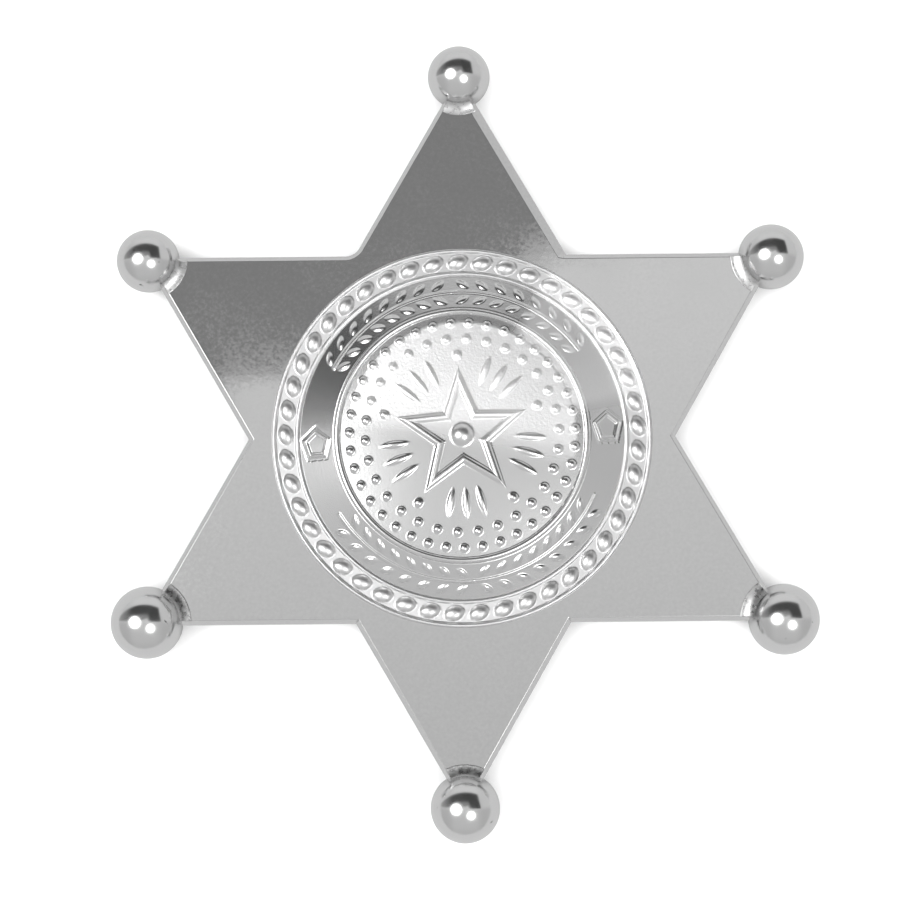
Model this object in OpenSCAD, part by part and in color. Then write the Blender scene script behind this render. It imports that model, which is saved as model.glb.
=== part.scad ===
// Six-pointed sheriff star badge: a flat star with a ball on every point, a struck round seal
// with a rope border in the middle and a pin on the back. It lies on its back, face up.
// +X is to the right of the face, +Y towards the top point and +Z out of the face. The origin
// is under the middle of the star, on the surface that the balls rest on.

/* [Star plate] */
// Distance from the middle of the star to the bare point of an arm
arm_reach = 35.1; // [30:0.1:45]
// Thickness of the star plate
plate_t = 1.4; // [1.1:0.1:1.8]
// Radius of the rolled front edge of the plate
front_round = 0.65; // [0.2:0.05:0.7]
// Radius of the eased back edge of the plate
back_round = 0.25; // [0.1:0.05:0.35]
// How far the web in the softened notch stands out from the sharp corner, mm
notch_soft = 0.3; // [0.1:0.05:0.5]

/* [Ball tips] */
// Nominal diameter of a ball
ball_d = 6.35; // [5.6:0.05:7.5]
// How far the bare point of an arm reaches past the middle of its ball
tip_past = 0.4; // [0.4:0.1:1.2]
// How far the collar of a ball runs out on its arm, beyond the ball
collar_w = 0.9; // [0.6:0.05:1.3]
// Height of the collar above the arm, where it meets the ball
collar_h = 0.35; // [0.2:0.05:0.6]
// Clearance between a ball and the arm that it is pressed on
ball_gap = 0.05; // [0.02:0.01:0.1]

/* [Seal] */
// Diameter of the seal over its outer rim
seal_d = 36; // [33:0.1:38]
// Height of the rope's bed above the plate
bed_h = 0.5; // [0.3:0.05:1]
// How far the side wall stands inside the outer rim line
wall_in = 0.15; // [0.05:0.05:0.2]
// Width of the outer rim line
rim_w = 0.45; // [0.3:0.05:0.6]
// Width of the bed that the rope lies in, between the two rim lines
bed_w = 1.75; // [1.6:0.05:2.2]
// Number of beads in the rope
rope_beads = 45; // [30:1:45]
// Length of a bead along its axis
bead_l = 2.25; // [1.6:0.05:2.3]
// Width of a bead at its axis
bead_w = 1.5; // [1:0.05:1.6]
// How deep a bead's axis lies under the bed's surface
bead_sink = 0.25; // [0.05:0.05:0.25]
// Angle of a bead to the run of the rope
bead_turn = 20; // [0:1:30]
// Width of the sloping band inside the rope
band_w = 3.3; // [3.1:0.05:4]
// Rise of the band from the rope to the middle field
band_rise = 1.6; // [0.6:0.05:2]
// Width of the line round the middle field
ring_w = 0.65; // [0.4:0.05:0.8]
// Rise of the middle field from its edge to its middle
field_crown = 0.45; // [0.2:0.05:0.8]
// Turn of the seal on the star
seal_turn = 3; // [-10:0.5:10]
// Clearance between the seal and the plate
seal_gap = 0.03; // [0.02:0.01:0.1]

/* [Seal ornament] */
// Number of dots round the middle field
dot_count = 39; // [24:1:40]
// Diameter of a dot
dot_d = 1.15; // [0.8:0.05:1.3]
// Gap between a dot and the line round the middle field
dot_clear = 0.25; // [0.1:0.05:0.5]
// Number of dots in the inner dotted circle
inner_dots = 30; // [20:1:32]
// Gap between the dots of the outer and the inner dotted circle
dot_gap = 0.33; // [0.2:0.01:0.6]
// Diameter round the five corners of a mark at the side of the band
mark_d = 3; // [2:0.1:3.2]
// Width of a mark's raised outline
mark_line = 0.4; // [0.3:0.05:0.5]
// Length of a laurel leaf
leaf_l = 1.7; // [1:0.05:1.8]
// Width of a laurel leaf
leaf_w = 0.75; // [0.5:0.05:0.9]
// Angle between a leaf and its stem
leaf_turn = 38; // [25:1:50]
// Angle round the seal from one pair of leaves to the next
leaf_pitch = 7.2; // [6.5:0.1:10]
// Width of a laurel stem
stem_w = 0.4; // [0.3:0.05:0.5]
// Gap between a leaf's point and its stem
leaf_clear = 0.07; // [0.05:0.01:0.15]
// Distance from the middle to a point of the small star
emblem_reach = 6.4; // [5:0.1:6.8]
// Size of the small star's waist as a share of its reach
emblem_waist = 0.42; // [0.38:0.01:0.5]
// Width of the small star's outline
emblem_line = 0.75; // [0.4:0.05:0.8]
// Diameter of the ball that bulges out as a boss in the middle of the small star
boss_d = 2.8; // [1.5:0.1:3.4]
// Height of the boss
boss_h = 0.5; // [0.3:0.05:0.7]
// Length of a ray
ray_l = 3.2; // [2:0.1:3.6]
// Angle from one ray to the next
ray_turn = 13; // [11:1:16]
// Height of the relief above its ground
relief_h = 0.32; // [0.2:0.02:0.4]
// How deep the long axis of a leaf or ray lies under its ground
leaf_sink = 0.1; // [0.05:0.01:0.15]

/* [Pin] */
// Length of the pin's base strip
pin_l = 30; // [24:0.5:33]
// Width of the base strip
pin_w = 4; // [3:0.1:5]
// Thickness of the base strip
pin_base_t = 0.55; // [0.4:0.05:0.6]
// Diameter of the pin wire
wire_d = 0.8; // [0.6:0.05:0.9]
// Diameter of the closed coil and of the catch that the wire runs between
coil_d = 1.7; // [1.4:0.05:1.8]
// Length of the coil
coil_l = 2.4; // [1.5:0.1:3]
// Length of the catch
catch_l = 1.6; // [1:0.1:3]
// How deep the coil and the catch sink into the base strip
coil_sink = 0.1; // [0.05:0.05:0.2]
// Distance of the pin above the middle of the star
pin_y = 7; // [-8:0.5:8]
// Clearance between the base strip and the back of the plate
pin_gap = 0.03; // [0.02:0.01:0.1]

/* [Hidden] */

// Ball table: direction of the arm, size, and how much further out than its nominal place the ball
// sits, both as shares of the nominal diameter. The balls are pressed on by hand, so they differ.
BALLS = [
    [ 90, 0.94,  0.05],
    [150, 0.94, -0.02],
    [ 30, 0.98, -0.05],
    [210, 1.07, -0.03],
    [330, 1.05,  0.03],
    [270, 1.02,  0.02]
];
ARM = 0;
SHARE = 1;
FURTHER = 2;

// Spray table: middle of the spray, half of its spread, turn of its growth (1 towards its middle)
SPRAYS = [
    [ 91, 58,  1],
    [271, 62, -1]
];
MIDDLE = 0;
SPREAD = 1;
GROWTH = 2;

// How far a cutting shape reaches past what it cuts
over = 0.5;
biggest_share = max([for (ball = BALLS) ball[SHARE]]);
plate_mid = biggest_share * ball_d / 2;
plate_back = plate_mid - plate_t / 2;
plate_front = plate_mid + plate_t / 2;
ball_reach = arm_reach - tip_past;
// A side of each of the star's two triangles lies this far from the middle
side_reach = arm_reach / 2;
notch_reach = arm_reach / sqrt(3);

seal_r = seal_d / 2;
rim_r = seal_r - rim_w / 2;
rope_r = seal_r - rim_w - bed_w / 2;
inner_rim_r = seal_r - rim_w - bed_w - rim_w / 2;
band_out = inner_rim_r - rim_w / 2;
band_in = band_out - band_w;
band_slope = atan(band_rise / band_w);
band_mid = (band_out + band_in) / 2;
ring_r = band_in - ring_w / 2;
field_r = ring_r - ring_w / 2;
field_h = bed_h + band_rise;
field_sphere = (field_r * field_r + field_crown * field_crown) / (2 * field_crown);
dot_r = field_r - dot_clear - dot_d / 2;
inner_dot_r = dot_r - dot_d - dot_gap;

// Distance of a leaf's middle from its stem, and place of the first pair as a share of the pitch
leaf_off = stem_w / 2 + leaf_clear + leaf_l / 2 * sin(leaf_turn);
first_leaf = 0.65;
// Half the angle at a point of the small star
emblem_point = atan(emblem_waist * sin(36) / (1 - emblem_waist * cos(36)));

// Height of the sloping band's surface above the plate
function band_z(r) = bed_h + band_rise * (band_out - r) / band_w;
// Height of the domed middle field's surface above the plate
function field_z(r) = field_h + field_crown - field_sphere + sqrt(field_sphere ^ 2 - r ^ 2);
function polar(r, angle) = [r * cos(angle), r * sin(angle)];

// What rounds a corner of a flat section: the corner is at 0, 0 and the solid is at -x and -y
module corner_cut(radius) {
    difference() {
        translate([-radius, -radius])
            square(radius + over);
        translate([-radius, -radius])
            circle(radius, $fn = 48);
    }
}

// Slab along Y whose edge at x = reach is rolled at the front and eased at the back. It goes back
// from that edge by deep and its back is on z = 0.
module edge_slab(reach, deep, long) {
    rotate([90, 0, 0])
        linear_extrude(long, center = true)
            difference() {
                translate([reach - deep, 0])
                    square([deep, plate_t]);
                translate([reach, plate_t])
                    corner_cut(front_round);
                translate([reach, 0])
                    mirror([0, 1])
                        corner_cut(back_round);
            }
}

// One of the star's two triangles: what the slabs of its three edges share
module star_triangle() {
    intersection() {
        rotate(60)
            edge_slab(side_reach, 3 * side_reach, 6 * side_reach);
        rotate(180)
            edge_slab(side_reach, 3 * side_reach, 6 * side_reach);
        rotate(300)
            edge_slab(side_reach, 3 * side_reach, 6 * side_reach);
    }
}

// Web that softens one notch: a short slab across it, whose ends and back lie inside the arms
module notch_web() {
    half = notch_soft * sqrt(3) + front_round * (2 - sqrt(3)) + over;
    edge_slab(notch_reach + notch_soft, notch_soft + front_round * 2 / sqrt(3) + over, 2 * half);
}

module star_plate() {
    color("silver")
        translate([0, 0, plate_back])
            union() {
                rotate(90)
                    star_triangle();
                rotate(-90)
                    star_triangle();
                rotate(120)
                    notch_web();
            }
}

// The collar of a ball on its arm: a revolved wedge under a hollow arc, on both faces. The arc
// leaves the arm level at the foot, meets the ball at the rim and ends a little inside the ball.
module collar(ball_r) {
    face = plate_t / 2 + ball_gap;
    foot = ball_r + collar_w;
    rim = [sqrt(ball_r ^ 2 - (face + collar_h) ^ 2), face + collar_h];
    arc_r = ((foot - rim.x) ^ 2 + collar_h ^ 2) / (2 * collar_h);
    inner_h = 1.4 * collar_h;
    inner = [foot - sqrt(arc_r ^ 2 - (arc_r - inner_h) ^ 2), face + inner_h];
    for (side = [0, 1])
        mirror([0, 0, side])
            rotate_extrude($fn = 96)
                difference() {
                    polygon([[0, face], [foot, face], inner, [0, inner.y]]);
                    translate([foot, face + arc_r])
                        circle(arc_r, $fn = 96);
                }
}

// Prism over the flat of an arm's end, between its rolled edges, about the middle of its ball.
// The bare point of the arm reaches past that middle by a given length.
module arm_flat(past) {
    point = past - 2 * front_round;
    root = 2 * ball_d;
    half = (point + root) * tan(30);
    linear_extrude(ball_d, center = true)
        polygon([[point, 0], [-root, half], [-root, -half]]);
}

// Slot for an arm in its ball: one of the star's triangles with plain edges, grown by the gap
module arm_slot() {
    linear_extrude(plate_t + 2 * ball_gap)
        circle(2 * (side_reach + ball_gap), $fn = 3);
}

module ball_tip(index) {
    ball_r = ball_d * BALLS[index][SHARE] / 2;
    reach = ball_reach + ball_d * BALLS[index][FURTHER];
    color("gainsboro")
        rotate(BALLS[index][ARM])
            translate([reach, 0, plate_mid])
                difference() {
                    union() {
                        sphere(ball_r, $fn = 64);
                        intersection() {
                            collar(ball_r);
                            arm_flat(arm_reach - reach);
                        }
                    }
                    translate([-reach, 0, -plate_t / 2 - ball_gap])
                        arm_slot();
                }
}

// Upper half of a pointed oval along Y: an arc turned about its chord, which lies on z = 0
module oval(length, width) {
    arc_r = (length ^ 2 + width ^ 2) / (4 * width);
    rotate([90, 0, 0])
        rotate_extrude(angle = 180, $fn = 20)
            intersection() {
                translate([width / 2 - arc_r, 0])
                    circle(arc_r, $fn = 64);
                translate([0, -length])
                    square([width, 2 * length]);
            }
}

// Puts children on the sloping band, with X down the slope and Z off the surface
module on_band(angle, r) {
    rotate(angle)
        translate([r, 0, band_z(r)])
            rotate([0, band_slope, 0])
                children();
}

// Plain turned body of the seal: rim, rope bed, inner rim, sloping band, ring and domed field
module seal_body() {
    rotate_extrude($fn = 180)
        polygon([
            [0, 0],
            [seal_r - wall_in, 0],
            [seal_r - wall_in, bed_h],
            [band_out, bed_h],
            [band_in, field_h],
            [0, field_h]
        ]);
    intersection() {
        translate([0, 0, field_h + field_crown - field_sphere])
            sphere(field_sphere, $fn = 360);
        translate([0, 0, bed_h])
            cylinder(h = field_h, r = ring_r, $fn = 180);
    }
    line_ring(rim_r, bed_h, rim_w);
    line_ring(inner_rim_r, bed_h, rim_w);
    line_ring(ring_r, field_h, ring_w);
}

// Half-round line round the seal
module line_ring(r, z, width) {
    translate([0, 0, z])
        rotate_extrude($fn = 180)
            translate([r, 0])
                circle(width / 2, $fn = 24);
}

module rope() {
    for (i = [0 : rope_beads - 1])
        rotate(i * 360 / rope_beads)
            translate([rope_r, 0, bed_h - bead_sink])
                rotate(bead_turn)
                    oval(bead_l, bead_w);
}

module dotted_circle(r, count) {
    for (i = [0 : count - 1])
        translate(concat(polar(r, i * 360 / count), field_z(r) + relief_h - dot_d / 2))
            sphere(d = dot_d, $fn = 24);
}

// Five-sided mark with a raised outline on the band, with a corner towards the seal's top
module side_mark(angle) {
    on_band(angle, band_mid)
        translate([0, 0, -over])
            rotate(90 - angle) {
                linear_extrude(over + relief_h / 2)
                    circle(d = mark_d, $fn = 5);
                linear_extrude(over + relief_h)
                    difference() {
                        circle(d = mark_d, $fn = 5);
                        circle(mark_d / 2 - mark_line / cos(36), $fn = 5);
                    }
            }
}

// One side of a laurel spray: a stem and pairs of leaves that lean along it
module half_spray(middle, spread, growth, side) {
    pairs = floor(spread / leaf_pitch);
    stem_start = side > 0 ? middle : middle - spread;
    translate([0, 0, band_z(band_mid)])
        rotate_extrude(start = stem_start, angle = spread, $fn = 180)
            translate([band_mid, 0])
                circle(d = stem_w, $fn = 16);
    for (i = [0 : pairs - 1])
        for (edge = [-1, 1])
            on_band(middle + side * (i + first_leaf) * leaf_pitch, band_mid + edge * leaf_off)
                translate([0, 0, -leaf_sink])
                    rotate(edge * side * growth * leaf_turn)
                        oval(leaf_l, leaf_w);
}

module laurel() {
    for (spray = SPRAYS)
        for (side = [-1, 1])
            half_spray(spray[MIDDLE], spray[SPREAD], spray[GROWTH], side);
}

// Upper half of a ball on z = 0
module half_ball(diameter) {
    rotate_extrude($fn = 48)
        intersection() {
            circle(d = diameter, $fn = 48);
            square(diameter);
        }
}

function star_points(reach) = [
    for (i = [0 : 9]) polar(i % 2 == 0 ? reach : reach * emblem_waist, 90 + 36 * i)
];

// Small outlined star with a boss in its middle, rays between its points and a dot at each point
module emblem() {
    end_r = emblem_reach + dot_d;
    translate([0, 0, field_h])
        linear_extrude(field_crown + relief_h)
            difference() {
                polygon(star_points(emblem_reach));
                polygon(star_points(emblem_reach - emblem_line / sin(emblem_point)));
            }
    translate([0, 0, field_z(0) + boss_h - boss_d / 2])
        half_ball(boss_d);
    for (i = [0 : 4]) {
        rotate(90 + 72 * i)
            translate([end_r, 0, field_z(end_r) + relief_h - dot_d / 2])
                sphere(d = dot_d, $fn = 24);
        for (fan = [-1 : 1])
            rotate(54 + 72 * i + ray_turn * fan)
                translate([emblem_reach, 0, field_z(emblem_reach) - leaf_sink])
                    rotate(90)
                        oval(ray_l, leaf_w);
    }
}

module seal() {
    color("lightgray")
        translate([0, 0, plate_front + seal_gap])
            rotate(seal_turn) {
                seal_body();
                rope();
                dotted_circle(dot_r, dot_count);
                dotted_circle(inner_dot_r, inner_dots);
                side_mark(0);
                side_mark(180);
                laurel();
                emblem();
            }
}

// Closed pin in one piece: a base strip, a coil at one end, a catch at the other, the wire between
module pin_clasp() {
    end_x = pin_l / 2 - coil_d;
    coil_z = -pin_base_t - coil_d / 2 + coil_sink;
    wire_z = coil_z - coil_d / 2 + wire_d / 2;
    color("darkgray")
        translate([0, pin_y, plate_back - pin_gap]) {
            pin_strip();
            translate([-end_x, 0, coil_z])
                cross_bar(coil_d, coil_l);
            translate([end_x, 0, coil_z])
                cross_bar(coil_d, catch_l);
            translate([0, 0, wire_z])
                rotate([0, 90, 0])
                    cylinder(d = wire_d, h = 2 * end_x, center = true, $fn = 32);
        }
}

// Flat strip with round ends, its top on z = 0
module pin_strip() {
    end = (pin_l - pin_w) / 2;
    translate([0, 0, -pin_base_t])
        linear_extrude(pin_base_t)
            union() {
                square([2 * end, pin_w], center = true);
                for (side = [-1, 1])
                    translate([side * end, 0])
                        circle(d = pin_w, $fn = 48);
            }
}

// Short round bar along Y
module cross_bar(width, length) {
    rotate([90, 0, 0])
        cylinder(d = width, h = length, center = true, $fn = 48);
}

star_plate();
seal();
ball_tip(0);  // ball_top
ball_tip(1);  // ball_upper_left
ball_tip(2);  // ball_upper_right
ball_tip(3);  // ball_lower_left
ball_tip(4);  // ball_lower_right
ball_tip(5);  // ball_bottom
pin_clasp();
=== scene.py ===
"""Looks of a nickel-plated sheriff star badge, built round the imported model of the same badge.

The badge lies on its back: +X is to the right of the face, +Y towards the top point and +Z out of
the face. All lengths are in metres, and MM turns millimetres into them.
"""

import math

import bpy
import numpy as np
from bpy.props import FloatProperty, FloatVectorProperty, IntProperty, PointerProperty
from mathutils import Matrix, Vector


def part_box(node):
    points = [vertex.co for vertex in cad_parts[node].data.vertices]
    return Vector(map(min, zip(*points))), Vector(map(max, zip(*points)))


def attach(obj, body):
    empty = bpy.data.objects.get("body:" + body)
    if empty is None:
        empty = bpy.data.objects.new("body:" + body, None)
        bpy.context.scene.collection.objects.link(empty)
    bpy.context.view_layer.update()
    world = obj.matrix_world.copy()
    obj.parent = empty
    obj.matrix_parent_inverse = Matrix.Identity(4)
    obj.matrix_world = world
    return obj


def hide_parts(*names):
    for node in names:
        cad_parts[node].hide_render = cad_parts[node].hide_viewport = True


bl_info = {
    "name": "Sheriff star badge",
    "version": (1, 0, 0),
    "blender": (4, 5, 0),
    "location": "3D View > Sidebar > Badge",
    "description": "Makes a nickel-plated star badge with ball tips and a struck round seal",
    "category": "Add Mesh",
}

MM = 0.001

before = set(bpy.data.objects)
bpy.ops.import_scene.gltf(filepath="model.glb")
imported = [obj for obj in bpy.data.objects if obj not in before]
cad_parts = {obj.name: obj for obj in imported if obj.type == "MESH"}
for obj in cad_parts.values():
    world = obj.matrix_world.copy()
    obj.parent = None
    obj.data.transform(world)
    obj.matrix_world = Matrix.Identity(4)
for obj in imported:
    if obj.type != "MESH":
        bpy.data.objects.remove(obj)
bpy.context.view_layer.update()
PLATE_LOW, PLATE_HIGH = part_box("star_plate")
SEAL_LOW, SEAL_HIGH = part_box("seal")

# Ball tips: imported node, direction of its arm in degrees
BALLS = (
    ("ball_top", 90),
    ("ball_upper_left", 150),
    ("ball_upper_right", 30),
    ("ball_lower_left", 210),
    ("ball_lower_right", 330),
    ("ball_bottom", 270),
)


def length(name, description, millimetres):
    """A length property whose default is given in millimetres."""
    return FloatProperty(
        name=name, description=description, default=millimetres * MM, unit="LENGTH", precision=5
    )


def angle(name, description, degrees):
    """An angle property whose default is given in degrees."""
    return FloatProperty(
        name=name, description=description, default=math.radians(degrees), subtype="ANGLE"
    )


def colour(name, description, code):
    """A colour property whose default is an sRGB hex value."""
    return FloatVectorProperty(
        name=name, description=description, default=linear(code), subtype="COLOR", min=0, max=1
    )


def linear(code):
    """The linear RGB of an sRGB hex value such as #C0C0C0."""
    shares = [int(code[i : i + 2], 16) / 255 for i in (1, 3, 5)]
    return [s / 12.92 if s <= 0.04045 else ((s + 0.055) / 1.055) ** 2.4 for s in shares]


class PlateSizes(bpy.types.PropertyGroup):
    """Sizes of the star plate"""

    bevel: length("Bevel", "Width of the bevel round the front", 0.45)
    wide_bevel: length("Wide bevel", "Width of the bevel at the right of the top arm", 0.85)
    bevel_drop: length("Bevel drop", "How far the bevel falls from the front", 0.5)
    crease: length("Crease", "Radius of the bevel's two edges", 0.07)
    back_round: length("Back round", "Radius of the eased back edge", 0.25)
    notch: length("Notch", "Radius in five of the notches", 0.1)
    soft_notch: length("Soft notch", "Radius in the notch at the upper left", 1.6)
    wave: length("Wave", "Height of the faint waves in the polished face", 0.004)
    wave_run: length("Wave run", "Distance from one wave to the next", 13)


class BallSizes(bpy.types.PropertyGroup):
    """Sizes of the ball tips"""

    collar_width: length("Collar width", "How far a collar runs out beyond its ball", 0.9)
    collar_height: length("Collar height", "Height of a collar where it meets its ball", 0.35)
    flat_edge: length("Flat edge", "Distance of a collar's ends from the edge of the arm", 0.4)


class SealSizes(bpy.types.PropertyGroup):
    """Sizes of the round seal and its ornament"""

    turn: angle("Turn", "Turn of the seal on the star", 3)
    bed: length("Bed", "Height of the rope's bed over the plate", 0.5)
    wall_in: length("Wall", "How far the side wall stands inside the outer rim line", 0.15)
    rim: length("Rim", "Width of the two rim lines", 0.45)
    bed_width: length("Bed width", "Width of the rope's bed between the rim lines", 1.75)
    beads: IntProperty(name="Beads", description="Number of beads in the rope", default=45)
    bead_length: length("Bead length", "Length of a bead along its axis", 2.25)
    bead_width: length("Bead width", "Width of a bead at its axis", 1.5)
    bead_turn: angle("Bead turn", "Angle of a bead to the run of the rope", 20)
    bead_sink: length("Bead sink", "How deep a bead's axis lies under the bed", 0.25)
    wear: FloatProperty(
        name="Wear", description="Height that polishing has left of the relief, as a share",
        default=0.7
    )
    band: length("Band", "Width of the sloping band", 3.3)
    band_rise: length("Band rise", "Rise of the band to the middle field", 1.6)
    ring: length("Ring", "Width of the line round the middle field", 0.65)
    crown: length("Crown", "Rise of the middle field to its middle", 0.45)
    relief: length("Relief", "Height of the relief over its ground", 0.32)
    dots: IntProperty(name="Dots", description="Number of dots round the field", default=39)
    dot: length("Dot", "Diameter of a dot", 1.15)
    dot_clear: length("Dot clearance", "Gap between a dot and the line round the field", 0.25)
    inner_dots: IntProperty(
        name="Inner dots", description="Number of dots in the inner dotted circle", default=30
    )
    dot_gap: length("Dot gap", "Gap between the dots of the two dotted circles", 0.33)
    mark: length("Mark", "Diameter round the corners of a five-sided mark", 3)
    mark_line: length("Mark line", "Width of a mark's raised outline", 0.4)
    leaf_length: length("Leaf length", "Length of a laurel leaf", 1.7)
    leaf_width: length("Leaf width", "Width of a laurel leaf", 0.75)
    leaf_turn: angle("Leaf turn", "Angle between a leaf and its stem", 38)
    leaf_pitch: angle("Leaf pitch", "Angle from one pair of leaves to the next", 7.2)
    leaf_off: length("Leaf offset", "Distance of a leaf's middle from its stem", 0.793)
    stem: length("Stem", "Width of a laurel stem", 0.4)
    star_reach: length("Star reach", "Reach of the small star's points", 6.4)
    star_waist: FloatProperty(
        name="Star waist", description="Waist of the small star as a share", default=0.42
    )
    star_line: length("Star line", "Width of the small star's outline", 0.75)
    boss: length("Boss", "Diameter of the ball that bulges out as the boss", 2.8)
    boss_height: length("Boss height", "Height of the boss over the field", 0.5)
    ray_length: length("Ray length", "Length of a ray", 3.2)
    ray_turn: angle("Ray turn", "Angle from one ray to the next", 13)
    leaf_sink: length("Leaf sink", "How deep the axis of a leaf or ray lies under its ground", 0.1)
    blend: length("Blend", "Softness of the creases at the foot of the relief", 0.12)


class Finishes(bpy.types.PropertyGroup):
    """Colours of the metal"""

    nickel: colour("Nickel", "Polished nickel plate", "#DCDCDC")
    worn_nickel: colour("Worn nickel", "Nickel with a haze of fine scratches", "#D0D0D0")
    # Painted highlight: the lighter tone of the frosted patch stands in for the lamps' glare
    frosted_nickel_painted_glare: colour("Frosted nickel", "Nickel over the grain of the die", "#F4F4F4")
    cast_nickel: colour("Cast nickel", "Nickel over the cast skin of the collars", "#C0C0C0")
    pin_nickel: colour("Pin nickel", "Nickel on the pin's wire and strip", "#CCCBC8")
    stain: colour("Stain", "Specks and stains on the balls", "#4A4A4A")


class StageValues(bpy.types.PropertyGroup):
    """The floor, the lights and the camera"""

    floor: colour("Floor", "White paper that the badge lies on", "#F4F4F4")
    # Painted shade: the mirrored floor is a darker copy of the white floor paper that only the
    # metal's reflections see
    mirrored_floor: colour("Mirrored floor", "Tone of the paper as the metal shows it", "#ADADAD")
    key_power: FloatProperty(
        name="Key power", description="Power of the soft overhead light", default=6, unit="POWER"
    )
    lamp_strength: FloatProperty(
        name="Lamp strength", description="Brightness of the two round lamps", default=7
    )
    camera_distance: length("Camera distance", "Distance from the camera to the badge", 190)
    camera_tilt: angle("Camera tilt", "Lean of the view towards the bottom point", 5.146)
    camera_roll: angle("Camera roll", "Roll of the camera", -0.494)
    lens: FloatProperty(
        name="Lens", description="Focal length", default=79.915, unit="CAMERA", precision=3
    )


# Meshes


def grid_faces(grid, closed_rows):
    """Points, quads and triangles of a closed surface over a grid, facing outward."""
    rows, columns = grid.shape[:2]
    points = grid.reshape(-1, 3)
    here = np.arange(rows * columns).reshape(rows, columns)
    ahead = np.roll(here, -1, axis=1)
    if closed_rows:
        quads = np.stack([here, ahead, np.roll(ahead, -1, axis=0), np.roll(here, -1, axis=0)], -1)
        fans = np.zeros((0, 3), int)
    else:
        quads = np.stack([here[:-1], ahead[:-1], ahead[1:], here[1:]], -1)
        first = np.full(columns, len(points))
        fans = np.concatenate([
            np.stack([ahead[0], here[0], first], -1),
            np.stack([here[-1], ahead[-1], first + 1], -1),
        ])
        points = np.concatenate([points, [grid[0].mean(0), grid[-1].mean(0)]])
    quads = quads.reshape(-1, 4)
    if volume(points, quads, fans) < 0:
        quads, fans = quads[:, ::-1], fans[:, ::-1]
    return points, quads, fans


def skin(name, grid, closed_rows=False, creases=()):
    """A closed mesh over a grid of points [row, column].

    The last column joins the first. The last row joins the first too, or else the first and last
    rows are each closed by a fan to their middle. `creases` are rows whose edges stay sharp.
    """
    points, quads, fans = grid_faces(grid, closed_rows)
    mesh = bpy.data.meshes.new(name)
    mesh.vertices.add(len(points))
    mesh.vertices.foreach_set("co", points.astype(np.float32).ravel())
    corners = np.concatenate([quads.ravel(), fans.ravel()])
    mesh.loops.add(len(corners))
    mesh.loops.foreach_set("vertex_index", corners.astype(np.int32))
    starts = np.concatenate([
        4 * np.arange(len(quads)), 4 * len(quads) + 3 * np.arange(len(fans))
    ])
    mesh.polygons.add(len(starts))
    mesh.polygons.foreach_set("loop_start", starts.astype(np.int32))
    mesh.update(calc_edges=True)
    mesh.validate()
    mesh.shade_smooth()
    sharpen(mesh, grid.shape[1], creases)
    return put_in_scene(name, mesh)


def put_in_scene(name, data):
    """A new object of the scene with the given mesh, light or camera."""
    piece = bpy.data.objects.new(name, data)
    bpy.context.scene.collection.objects.link(piece)
    return piece


def volume(points, quads, fans):
    """Signed volume inside a mesh: a sixth of the sum of each triangle's triple product."""
    triangles = np.concatenate([quads[:, :3], quads[:, [0, 2, 3]], fans])
    a, b, c = (points[triangles[:, i]] for i in range(3))
    return (a * np.cross(b, c)).sum() / 6


def sharpen(mesh, columns, creases):
    """Marks the edges that run along the given rows of a grid as sharp."""
    if not creases:
        return
    ends = np.zeros(2 * len(mesh.edges), np.int32)
    mesh.edges.foreach_get("vertices", ends)
    rows = ends.reshape(-1, 2) // columns
    sharp = (rows[:, 0] == rows[:, 1]) & np.isin(rows[:, 0], creases)
    mesh.edges.foreach_set("use_edge_sharp", sharp)


def dress(piece, material, slot, *nodes):
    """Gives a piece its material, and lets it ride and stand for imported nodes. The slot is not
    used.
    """
    piece.data.materials.append(material)
    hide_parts(*nodes)
    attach(piece, "root")


def smooth_max(a, b, blend):
    """The greater of two heights with a soft crease.

    Where they differ by less than the blend, the rest of the blend, squared, over four blends is
    added to the greater one.
    """
    rest = np.maximum(blend - np.abs(a - b), 0)
    return np.maximum(a, b) + rest * rest / (4 * blend)


def arc(start, end, steps):
    """Angles from start to end in degrees, given in radians."""
    return np.radians(np.linspace(start, end, steps))


# Star plate

STAR_COLUMNS = 1440
FACE_ROWS = 16
BACK_ROWS = 3
ARM = math.radians(60)
HALF_ARM = math.radians(30)
SOFT_NOTCH_ANGLE = math.radians(120)
# The wide bevel runs along one edge, from the tip at 90 degrees to the notch at 60 degrees
WIDE_FROM = math.radians(60)
WIDE_TO = math.radians(90)
WIDE_FADE = math.radians(1.5)
# The flats keep a row this close to their rounded edge, and their smallest ring is this share
FLAT_START = 0.04 * MM
MIDDLE_SHARE = 0.02


def star_radius(turn, side, notch):
    """Distance from the middle to the edge of a six-pointed star.

    All twelve edges lie on lines at the distance `side` from the middle, so along an edge it is
    side / cos(60 degrees - angle from the arm's point). In a notch it is the near side of a circle
    of radius `notch` that touches both edges: m cos t - sqrt(notch^2 - m^2 sin^2 t), where m is
    the distance of the circle's middle and t the angle from the notch.
    """
    from_notch = (turn + HALF_ARM) % ARM - HALF_ARM
    from_point = HALF_ARM - np.abs(from_notch)
    edge = side / np.cos(ARM - from_point)
    middle = (side + notch) / math.cos(HALF_ARM)
    touch = np.arctan2(notch / 2, middle - notch * math.cos(HALF_ARM))
    inside = np.maximum(notch**2 - (middle * np.sin(from_notch)) ** 2, 0)
    bend = middle * np.cos(from_notch) - np.sqrt(inside)
    return np.where(np.abs(from_notch) < touch, bend, edge)


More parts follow.
